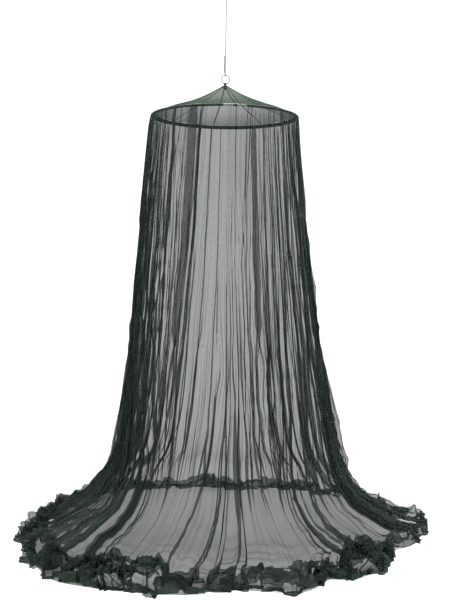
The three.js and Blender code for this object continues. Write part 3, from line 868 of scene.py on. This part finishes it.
def fold_wave(folds, jitter, sharpness):
    """A wave round and down the cloth with this many uneven folds. The sharper it is, the flatter
    the cloth lies between the narrow steps of its folds."""
    share = measure / around_total
    phase = 2 * pi * folds * share
    height_of_wave = np.ones_like(share)
    for harmonic in range(1, 26):
        swing = jitter * random.normal() / harmonic**0.7
        phase += swing * np.sin(2 * pi * harmonic * share + random.uniform(0, 2 * pi))
    for harmonic in random.integers(3, folds, 30):
        height_of_wave += 0.16 * np.sin(2 * pi * harmonic * share + random.uniform(0, 2 * pi))
    # folds wander by up to 25 mm to the sides as they go down
    wander = ripples(10, 0.5, 1.6)(measure[None], 0.8 * np.minimum(down_run, 1.55))
    folded = np.sin(phase[None] + 2 * pi * folds / around_total * 0.025 * wander)
    return np.sign(folded) * np.abs(folded) ** sharpness * height_of_wave[None]


# Large, small and fine folds together. The large ones grow towards the floor, and where they are
# strong the small ones are weak.
main_folds = fold_wave(61, 3.0, 1.5)
small_folds = fold_wave(149, 5.0, 1.8)
fine_folds = fold_wave(330, 8.0, 1.6)
drift = ripples(14, 0.25, 0.9)(measure[None], down_run * 0.35)
MIX_AT = [0, 2, 8, 12, 17]
wave = (
    by_row(MIX_AT, [0.08, 0.16, 0.36, 0.42, 0.55]) * main_folds * (1 + 0.35 * drift)
    + by_row(MIX_AT, [0.38, 0.50, 0.62, 0.70, 0.7]) * small_folds * (1 - 0.45 * drift)
    + by_row(MIX_AT, [1.00, 1.00, 1.00, 0.85, 0.7]) * fine_folds * (1 + 0.25 * drift)
)


def turned_back(wave, strength):
    """The direction that the cloth runs in across its folds, in radians from straight ahead."""
    return FOLD_BACK * np.tanh(strength * wave / FOLD_BACK)


# How strong the wave must be for the cloth nearby to be this much fuller than what it covers.
STRENGTHS = np.linspace(0, 6, 80)
NEARBY = 45  # columns to each side
SMOOTHING = 20  # columns to each side
even = np.ones(2 * SMOOTHING + 1) / (2 * SMOOTHING + 1)
direction = np.empty_like(wave)
for row in range(ROWS):
    kept = np.cos(turned_back(wave[row], STRENGTHS[:, None]))
    sums = np.cumsum(np.pad(kept, ((0, 0), (NEARBY + 1, NEARBY)), mode="wrap"), axis=1)
    kept = (sums[:, 2 * NEARBY + 1:] - sums[:, :-2 * NEARBY - 1]) / (2 * NEARBY + 1)
    enough = np.clip((kept > 1 / fullness[row]).sum(axis=0), 1, len(STRENGTHS) - 1)
    strength = np.convolve(np.pad(STRENGTHS[enough], SMOOTHING, mode="wrap"), even, mode="valid")
    strength *= np.clip((fullness[row] - 1) / 0.03, 0, 1)
    direction[row] = turned_back(wave[row], strength)


def column_at(place):
    """The column that meets the heading at this many degrees."""
    return int(np.argmin(np.abs((heading - place + 180) % 360 - 180)))


for place, pleat_width, first, last in LINES:
    from_line = measure - measure[column_at(place)]
    fade = np.clip(np.minimum(row_at - first + 1, last - row_at + 1), 0, 1)[:, None]
    turned = 0.5 + 0.5 * np.tanh((pleat_width / 2 - np.abs(from_line)) / 0.0024)[None]
    direction = direction * (1 - turned * fade) + PLEAT_TURN * turned * fade

along = cloth_step * np.cos(direction) - base_out * step_angle
across = cloth_step * np.sin(direction)


def settle(steps, fewest):
    """Sums steps round the cloth, less what goes in fewer waves than this round the canopy."""
    total = np.cumsum(steps - steps.mean(axis=1, keepdims=True), axis=1)
    waves = np.fft.rfft(total, axis=1)
    order = np.arange(waves.shape[1])
    waves *= 1 - np.exp(-((order / fewest) ** 4))
    return np.fft.irfft(waves, n=COLUMNS, axis=1)


shift = settle(along, 11)
lift = settle(across, 16)

# Which way the folds stand: out from the wall, and up from the floor. They are held flatter at the
# heading and at the hem. The wall's crests lie on the profile, and so do the floor's troughs.
slope_out = np.gradient(base_out, axis=0)
slope_up = np.gradient(base_up, axis=0)
slope = np.hypot(slope_out, slope_up)
normal_out, normal_up = -slope_up / slope, slope_out / slope
on_floor = by_row([10.5, 14], [0, 1])
lift = lift * by_row([0, 0.8, 11, 13.5, 16, 17], [0.35, 1, 1, 0.75, 0.5, 0.12])
lift = lift - 0.9 * np.std(lift, axis=1, keepdims=True) * (1 - 2 * on_floor)

turn = np.radians(azimuth) + shift / base_out
out = base_out + lift * normal_out
up = base_up + lift * normal_up

# The spare length lies in ruffles along the hem. Down the cloth, too, it is fuller than the floor
# that it covers, and turns back and forth in low folds.
pushed = at_hem(3)
rim_across = np.radians(azimuth) * reach.mean()  # along the rim
cloth_across = cloth_run[-1][None]  # along the cloth itself
from_hem = reach * (1 - to_hem)
zone = np.clip(1 - from_hem / (0.04 + 3.2 * pushed), 0, 1) * np.clip(to_hem / 0.3, 0, 1)
floor_step = np.vstack([np.zeros((1, COLUMNS)), from_hem[:-1] - from_hem[1:]])
ruffled = 1 + 60 * pushed * np.clip(zone / 0.3, 0, 1)  # cloth to floor
cloth_along = np.cumsum(floor_step * ruffled, axis=0)
ruffle_wave = (
    0.8 * ripples(30, 0.05, 0.14)(0.28 * rim_across, cloth_along)
    + 0.55 * ripples(40, 0.03, 0.06)(0.25 * rim_across, cloth_along)
    + 0.12 * ripples(40, 0.03, 0.08)(0.3 * cloth_across, cloth_along)
)


def nearby_mean(values, rows, columns):
    """The mean round each point of the cloth, of this many rows and columns to each side."""
    values = np.pad(values, ((rows + 1, rows), (0, 0)), mode="edge")
    values = np.pad(values, ((0, 0), (columns + 1, columns)), mode="wrap")
    sums = values.cumsum(axis=0).cumsum(axis=1)
    sums = sums[2 * rows + 1:] - sums[:-2 * rows - 1]
    sums = sums[:, 2 * columns + 1:] - sums[:, :-2 * columns - 1]
    return sums / ((2 * rows + 1) * (2 * columns + 1))


# As above, the wave is as strong at each place as the spare length nearby asks for.
strength = np.full(ruffle_wave.shape, 6.0)
for tried in np.linspace(6, 0, 40):
    kept = nearby_mean(np.cos(turned_back(ruffle_wave, tried)), 7, 40)
    strength = np.where(kept < 1 / ruffled, tried, strength)
strength = nearby_mean(strength, 2, 12)
ruffle_turn = turned_back(ruffle_wave, strength)
ruffle_out = np.cumsum(floor_step * (ruffled * np.cos(ruffle_turn) - 1), axis=0)
ruffle_up = np.cumsum(floor_step * ruffled * np.sin(ruffle_turn), axis=0)
# the hem stays near its outline and on the floor, and no wide hill stands in the ruffles
ruffle_out -= 0.6 * zone * ruffle_out[-1]
ruffle_up -= zone * ruffle_up[-1]
nearness = np.exp(-0.5 * ((row_at[:, None] - row_at[None]) / 0.6) ** 2)
ruffle_up -= 0.6 * (nearness / nearness.sum(axis=1, keepdims=True)) @ ruffle_up
out = out + ruffle_out
up = up + 0.8 * ruffle_up


def creased():
    """Creases that run every way, in metres along the rim and down the cloth."""
    return (
        ripples(24, 0.12, 0.40)(rim_across, cloth_along)
        + 0.2 * ripples(40, 0.04, 0.12)(0.6 * cloth_across, cloth_along)
    )


crease_size = np.clip(zone / 0.4, 0, 1) * (0.002 + 0.15 * pushed)
out = out + crease_size * creased()
turn = turn + 1.2 * crease_size * creased() / base_out

# Nothing lies under the floor: what would is laid flat on it, a millimetre or more over it.
clearance = 0.001 + 0.0012 * (1 + ripples(26, 0.12, 0.40)(rim_across, cloth_along))
pressed = clearance * (1 + 2 * np.exp(np.minimum(up / clearance - 3, 0) / 2))
up = np.where(up < clearance * 3, pressed, up)

cloth_points = np.stack([out * np.cos(turn), out * np.sin(turn), up + FLOOR], axis=2)
row_steps = np.sqrt(np.diff(base_out, axis=0) ** 2 + np.diff(base_up, axis=0) ** 2)
real_down = np.vstack([np.zeros((1, COLUMNS)), np.cumsum(row_steps, axis=0)])
seam_columns = [column_at(seam) for seam in SEAMS]
for number, first in enumerate(seam_columns):
    last = seam_columns[(number + 1) % 8]
    columns = np.arange(first, last + 1 if last > first else last + COLUMNS + 1) % COLUMNS
    count = len(columns)
    grid = cloth_points[:, columns]
    widths = np.cumsum(cloth_step[:, columns[:-1]], axis=1)
    widths = np.concatenate([np.zeros((ROWS, 1)), widths], axis=1)
    total = widths[:, -1:]
    cloth_down = real_down[:, columns]
    uvs = np.stack([widths - total / 2, cloth_down], axis=2).reshape(-1, 2)
    from_seam = np.minimum(widths, total - widths)
    edges = np.stack([from_seam, cloth_down[-1:] - cloth_down], axis=2).reshape(-1, 2)
    corner = np.arange(ROWS - 1)[:, None] * count + np.arange(count - 1)[None]
    faces = np.stack([corner, corner + count, corner + count + 1, corner + 1], axis=2)
    panel = mesh_piece(
        f"skirt-panel-{number + 1}",
        (grid.reshape(-1, 3).tolist(), faces.reshape(-1, 4).tolist(), uvs, edges),
        skirt_net,
    )
    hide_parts(f"skirt_panel_{number + 1}")

# ---- Studio --------------------------------------------------------------------------------------
# A plain white floor and white surroundings, with one large soft light over the front. Beyond the
# hem the floor is as bright as the surroundings, so that it shows no shadow.
SURROUNDINGS = 1.28  # brightness
white_paint, shader = new_material("matt white studio floor")
shader.inputs["Base Color"].default_value = linear("e4e4e4")
shader.inputs["Roughness"].default_value = 0.9
shader.inputs["Specular IOR Level"].default_value = 0.1
shader.inputs["Emission Color"].default_value = linear("ffffff")
shader.inputs["Emission Strength"].default_value = 0.1
lit_paint, shader = new_material("lit white studio floor")
shader.inputs["Base Color"].default_value = linear("000000")
shader.inputs["Specular IOR Level"].default_value = 0
shader.inputs["Emission Color"].default_value = linear("ffffff")
shader.inputs["Emission Strength"].default_value = SURROUNDINGS

# The white floor follows the hem, 10 mm inside it at the front and 40 mm past it at the back. The
# lit floor goes on from there, further than any view reaches.
FLOOR_SIDES, FLOOR_RADIUS = 120, 300
rims = []
for side in range(FLOOR_SIDES):
    place = side * 360 / FLOOR_SIDES
    edge = around(HEM[:, 0], HEM[:, 1], np.array([place]))[0] - 0.01
    edge += 0.05 * max(sin(radians(place)), 0)
    rims.append([
        (radius * cos(radians(place)), radius * sin(radians(place)), FLOOR)
        for radius in (edge, FLOOR_RADIUS)
    ])
corners = [rim[0] for rim in rims] + [rim[1] for rim in rims]
outer = [
    (side, side + FLOOR_SIDES, (side + 1) % FLOOR_SIDES + FLOOR_SIDES, (side + 1) % FLOOR_SIDES)
    for side in range(FLOOR_SIDES)
]
floor_mesh = bpy.data.meshes.new("floor")
floor_mesh.from_pydata(corners, [], [tuple(range(FLOOR_SIDES))] + outer)
floor_mesh.materials.append(white_paint)
floor_mesh.materials.append(lit_paint)
floor_mesh.polygons.foreach_set("material_index", [0] + [1] * FLOOR_SIDES)
floor = bpy.data.objects.new("floor", floor_mesh)
scene.collection.objects.link(floor)

world = bpy.data.worlds.new("white surroundings")
scene.world = world
world.use_nodes = True
world.node_tree.nodes["Background"].inputs["Color"].default_value = (1, 1, 1, 1)
world.node_tree.nodes["Background"].inputs["Strength"].default_value = SURROUNDINGS

top_light = bpy.data.objects.new("top light", bpy.data.lights.new("top light", "AREA"))
top_light.data.size = 3.0
top_light.data.energy = 60
top_light.location = (0.4, -1.2, 1.6)
to_foot = Vector((0, 0, FLOOR)) - top_light.location
top_light.rotation_euler = to_foot.to_track_quat("-Z", "Y").to_euler()
scene.collection.objects.link(top_light)
scene.view_settings.view_transform = "Standard"
scene.cycles.transparent_max_bounces = 96  # a look through the skirt crosses dozens of layers
